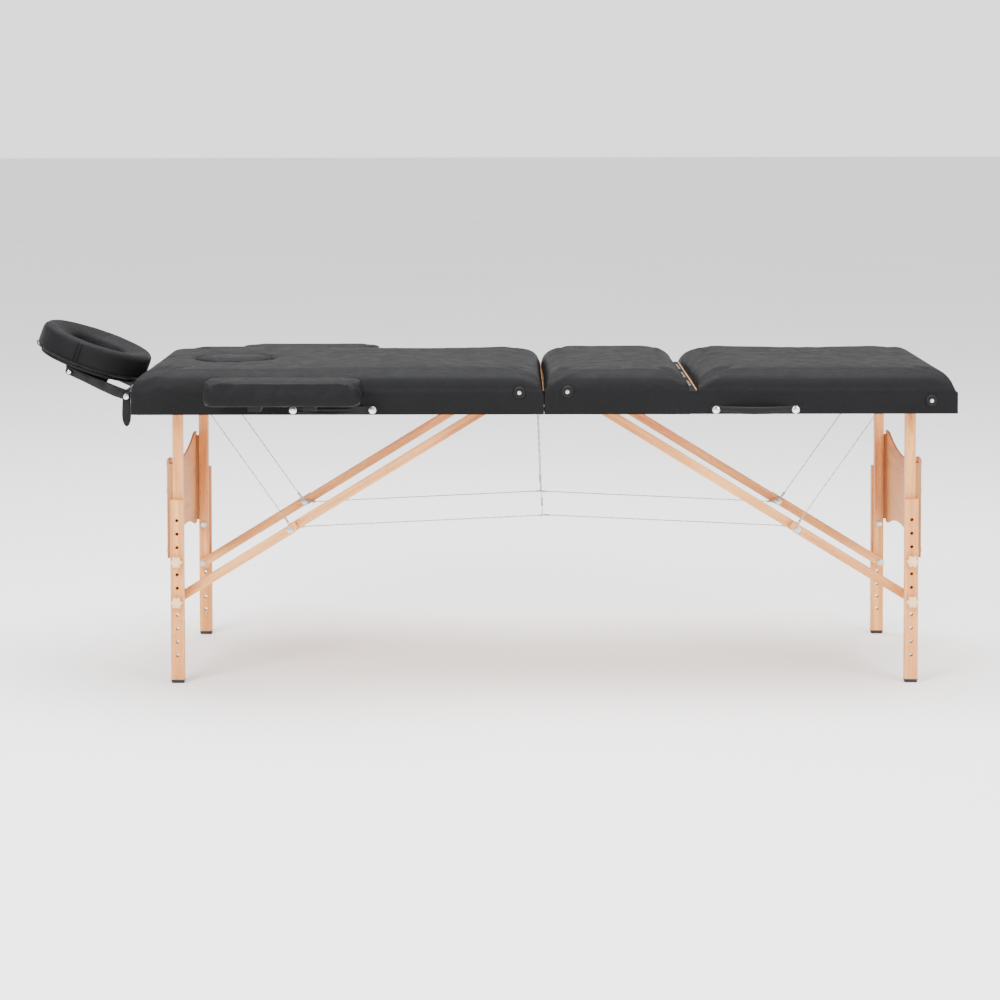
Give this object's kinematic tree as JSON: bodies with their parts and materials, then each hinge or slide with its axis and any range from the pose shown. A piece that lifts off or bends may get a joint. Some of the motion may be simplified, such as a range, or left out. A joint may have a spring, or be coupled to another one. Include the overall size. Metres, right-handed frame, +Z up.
{
  "type": "portable massage table",
  "caption": "Folding padded massage table on wooden legs with elbow braces, support cables, lifting backrest, face ring headrest and plug-in armrests.",
  "frame": {"origin": "on the floor under the middle of the whole object, headrest included", "axes": "+X along the top towards the backrest end, -Y the side with the carrying handles, +Z up"},
  "size_m": [2.128, 0.854, 0.8132],
  "materials": {
    "black_leather": "satin",
    "beech": "satin lacquer",
    "plywood": "matte",
    "zinc_steel": "satin",
    "cable_steel": "satin",
    "chrome": "polished",
    "dark_metal": "satin",
    "black_plastic": "matte",
    "rubber": "matte",
    "knob_resin": "satin"
  },
  "bodies": {
    "head_frame": {"head_side_rails": "beech", "head_cross_rails": "beech", "head_deck": "plywood", "head_pad": "black_leather", "head_hardware": "zinc_steel", "head_hinge_leaves": "zinc_steel", "head_handle": "black_plastic", "head_bumper": "black_plastic", "head_cables": "cable_steel", "hinge_pins": "zinc_steel"},
    "foot_frame": {"foot_side_rails": "beech", "foot_cross_rails": "beech", "foot_deck": "plywood", "seat_pad": "black_leather", "foot_hardware": "zinc_steel", "foot_hinge_leaves": "zinc_steel", "foot_handle": "black_plastic", "foot_bumpers": "black_plastic", "foot_cables": "cable_steel"},
    "backrest": {"backrest_board": "plywood", "backrest_pad": "black_leather", "backrest_leaf": "zinc_steel"},
    "prop": {"backrest_prop": "dark_metal"},
    "head_leg_frame": {"head_upper_legs": "beech", "head_leg_panel": "plywood", "head_leg_bolts": "zinc_steel"},
    "head_leg_extension": {"head_leg_boards": "beech", "head_feet": "rubber"},
    "head_upper_brace": {"head_upper_braces": "beech", "head_elbow_studs": "zinc_steel"},
    "head_lower_brace": {"head_lower_braces": "beech", "head_elbow_bolts": "zinc_steel"},
    "foot_leg_frame": {"foot_upper_legs": "beech", "foot_leg_panel": "plywood", "foot_leg_bolts": "zinc_steel"},
    "foot_leg_extension": {"foot_leg_boards": "beech", "foot_feet": "rubber"},
    "foot_upper_brace": {"foot_upper_braces": "beech", "foot_elbow_studs": "zinc_steel"},
    "foot_lower_brace": {"foot_lower_braces": "beech", "foot_elbow_bolts": "zinc_steel"},
    "knob_head_front_upper_body": {"knob_head_front_upper": "knob_resin"},
    "knob_head_front_lower_body": {"knob_head_front_lower": "knob_resin"},
    "knob_head_rear_upper_body": {"knob_head_rear_upper": "knob_resin"},
    "knob_head_rear_lower_body": {"knob_head_rear_lower": "knob_resin"},
    "knob_foot_front_upper_body": {"knob_foot_front_upper": "knob_resin"},
    "knob_foot_front_lower_body": {"knob_foot_front_lower": "knob_resin"},
    "knob_foot_rear_upper_body": {"knob_foot_rear_upper": "knob_resin"},
    "knob_foot_rear_lower_body": {"knob_foot_rear_lower": "knob_resin"},
    "headrest_carriage": {"headrest_rods": "chrome"},
    "headrest_arm": {"headrest_arms": "dark_metal"},
    "headrest_cradle": {"headrest_platform": "black_plastic", "headrest_cushion": "black_leather"},
    "headrest_cam_lever": {"headrest_lever": "black_plastic"},
    "armrest_front": {"armrest_front_pad": "black_leather", "armrest_front_base": "beech"},
    "armrest_rear": {"armrest_rear_pad": "black_leather", "armrest_rear_base": "beech"},
    "face_hole_plug": {"face_plug": "black_leather"}
  },
  "joints": [
    {"name": "head_leg_fold", "type": "hinge", "parent": "head_frame", "child": "head_leg_frame", "pos_m": [-0.701, 0, 0.652], "axis": [0, -1, 0], "range_deg": [0, 90], "deforming": ["head_cables"]},
    {"name": "foot_leg_fold", "type": "hinge", "parent": "foot_frame", "child": "foot_leg_frame", "pos_m": [0.971, 0, 0.652], "axis": [0, 1, 0], "range_deg": [0, 90], "deforming": ["foot_cables"]},
    {"name": "seam_fold", "type": "hinge", "parent": "head_frame", "child": "foot_frame", "pos_m": [0.135, 0, 0.62], "axis": [0, 1, 0], "range_deg": [0, 90]},
    {"name": "head_upper_brace_swing", "type": "hinge", "parent": "head_frame", "child": "head_upper_brace", "pos_m": [0.0578, 0, 0.652], "axis": [0, 1, 0], "range_deg": [0, 31.55]},
    {"name": "foot_upper_brace_swing", "type": "hinge", "parent": "foot_frame", "child": "foot_upper_brace", "pos_m": [0.2122, 0, 0.652], "axis": [0, -1, 0], "range_deg": [0, 31.55]},
    {"name": "head_lower_brace_swing", "type": "hinge", "parent": "head_leg_frame", "child": "head_lower_brace", "pos_m": [-0.701, 0, 0.187], "axis": [0, -1, 0], "range_deg": [0, 58.55]},
    {"name": "foot_lower_brace_swing", "type": "hinge", "parent": "foot_leg_frame", "child": "foot_lower_brace", "pos_m": [0.971, 0, 0.187], "axis": [0, 1, 0], "range_deg": [0, 58.55]},
    {"name": "head_leg_height", "type": "slide", "parent": "head_leg_frame", "child": "head_leg_extension", "axis": [0, 0, -1], "range_m": [-0.093, 0.093]},
    {"name": "foot_leg_height", "type": "slide", "parent": "foot_leg_frame", "child": "foot_leg_extension", "axis": [0, 0, -1], "range_m": [-0.093, 0.093]},
    {"name": "knob_head_front_upper_turn", "type": "hinge", "parent": "head_leg_frame", "child": "knob_head_front_upper_body", "pos_m": [-0.701, 0, 0.28], "axis": [0, -1, 0], "continuous": true},
    {"name": "knob_head_front_lower_turn", "type": "hinge", "parent": "head_leg_frame", "child": "knob_head_front_lower_body", "pos_m": [-0.701, 0, 0.187], "axis": [0, -1, 0], "continuous": true},
    {"name": "knob_head_rear_upper_turn", "type": "hinge", "parent": "head_leg_frame", "child": "knob_head_rear_upper_body", "pos_m": [-0.701, 0, 0.28], "axis": [0, 1, 0], "continuous": true},
    {"name": "knob_head_rear_lower_turn", "type": "hinge", "parent": "head_leg_frame", "child": "knob_head_rear_lower_body", "pos_m": [-0.701, 0, 0.187], "axis": [0, 1, 0], "continuous": true},
    {"name": "knob_foot_front_upper_turn", "type": "hinge", "parent": "foot_leg_frame", "child": "knob_foot_front_upper_body", "pos_m": [0.971, 0, 0.28], "axis": [0, -1, 0], "continuous": true},
    {"name": "knob_foot_front_lower_turn", "type": "hinge", "parent": "foot_leg_frame", "child": "knob_foot_front_lower_body", "pos_m": [0.971, 0, 0.187], "axis": [0, -1, 0], "continuous": true},
    {"name": "knob_foot_rear_upper_turn", "type": "hinge", "parent": "foot_leg_frame", "child": "knob_foot_rear_upper_body", "pos_m": [0.971, 0, 0.28], "axis": [0, 1, 0], "continuous": true},
    {"name": "knob_foot_rear_lower_turn", "type": "hinge", "parent": "foot_leg_frame", "child": "knob_foot_rear_lower_body", "pos_m": [0.971, 0, 0.187], "axis": [0, 1, 0], "continuous": true},
    {"name": "backrest_tilt", "type": "hinge", "parent": "foot_frame", "child": "backrest", "pos_m": [0.47, 0, 0.673], "axis": [0, -1, 0], "range_deg": [0, 57]},
    {"name": "backrest_prop_swing", "type": "hinge", "parent": "foot_frame", "child": "prop", "pos_m": [0.745, 0, 0.657], "axis": [0, -1, 0], "range_deg": [0, 114]},
    {"name": "headrest_reach", "type": "slide", "parent": "head_frame", "child": "headrest_carriage", "axis": [-1, 0, 0], "range_m": [0, 0.06]},
    {"name": "headrest_arm_tilt", "type": "hinge", "parent": "headrest_carriage", "child": "headrest_arm", "pos_m": [-0.835, 0, 0.641], "axis": [0, -1, 0], "range_deg": [0, 50]},
    {"name": "headrest_cradle_tilt", "type": "hinge", "parent": "headrest_arm", "child": "headrest_cradle", "pos_m": [-0.97, 0, 0.697], "axis": [0, -1, 0], "range_deg": [0, 40]},
    {"name": "headrest_lever_throw", "type": "hinge", "parent": "headrest_carriage", "child": "headrest_cam_lever", "pos_m": [-0.835, 0, 0.641], "axis": [0, 1, 0], "range_deg": [0, 90]},
    {"name": "armrest_front_pull", "type": "slide", "parent": "head_frame", "child": "armrest_front", "axis": [0, -1, 0], "range_m": [0, 0.06]},
    {"name": "armrest_rear_pull", "type": "slide", "parent": "head_frame", "child": "armrest_rear", "axis": [0, 1, 0], "range_m": [0, 0.06]},
    {"name": "face_plug_lift", "type": "slide", "parent": "head_frame", "child": "face_hole_plug", "axis": [0, 0, 1], "range_m": [0, 0.12]}
  ],
  "couplings": [
    {"joint": "head_upper_brace_swing", "follows": "head_leg_fold", "ratio": 0.35},
    {"joint": "foot_upper_brace_swing", "follows": "foot_leg_fold", "ratio": 0.35},
    {"joint": "head_lower_brace_swing", "follows": "head_leg_fold", "ratio": 0.65},
    {"joint": "foot_lower_brace_swing", "follows": "foot_leg_fold", "ratio": 0.65},
    {"joint": "backrest_prop_swing", "follows": "backrest_tilt", "ratio": 2}
  ]
}
